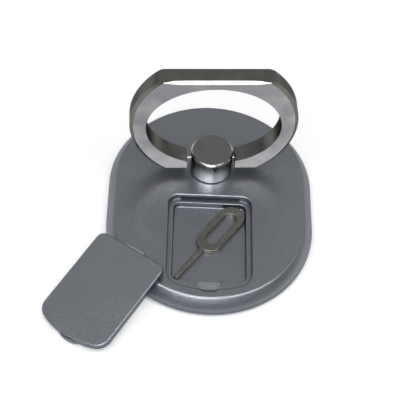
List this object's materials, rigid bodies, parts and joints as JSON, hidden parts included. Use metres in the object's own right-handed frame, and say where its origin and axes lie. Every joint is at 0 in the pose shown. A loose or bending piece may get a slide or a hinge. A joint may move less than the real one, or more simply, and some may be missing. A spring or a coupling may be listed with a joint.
{
  "type": "finger ring phone stand",
  "caption": "Stick-on finger ring phone stand: painted oval plate with a lidded compartment, swivelling post and tilting metal ring; its lid is off and an eject tool lies inside.",
  "frame": {"origin": "on the swivel axis at the adhesive face under the plate", "axes": "+Z along the swivel axis, away from the phone; the compartment lies towards -Y; +X is across the plate, to the right in the picture"},
  "size_m": [0.0442, 0.0511, 0.0267],
  "materials": {
    "metallic_paint": "moulded plastic in semi-gloss silver-grey metallic paint",
    "foam_tape": "matt double-sided foam tape",
    "stamped_steel": "stamped steel with a dull nickel plate",
    "plated_zinc": "polished and nickel plated zinc",
    "pin_steel": "bright drawn steel",
    "spring_steel": "plain rolled steel"
  },
  "bodies": {
    "plate": {"base_plate": "metallic_paint", "adhesive_pad": "foam_tape", "compartment_lid": "metallic_paint", "eject_tool": "stamped_steel", "spring_washer": "spring_steel"},
    "swivel": {"swivel_post": "plated_zinc", "hinge_pin": "pin_steel", "retaining_washer": "spring_steel"},
    "ring": {"finger_ring": "plated_zinc"}
  },
  "joints": [
    {"name": "post_swivel", "type": "hinge", "parent": "plate", "child": "swivel", "pos_m": [0, 0, 0], "axis": [0, 0, 1], "continuous": true},
    {"name": "ring_tilt", "type": "hinge", "parent": "swivel", "child": "ring", "pos_m": [0, 0, 0.0063], "axis": [0.9982, 0.0593, 0], "range_deg": [-90, 90]}
  ]
}
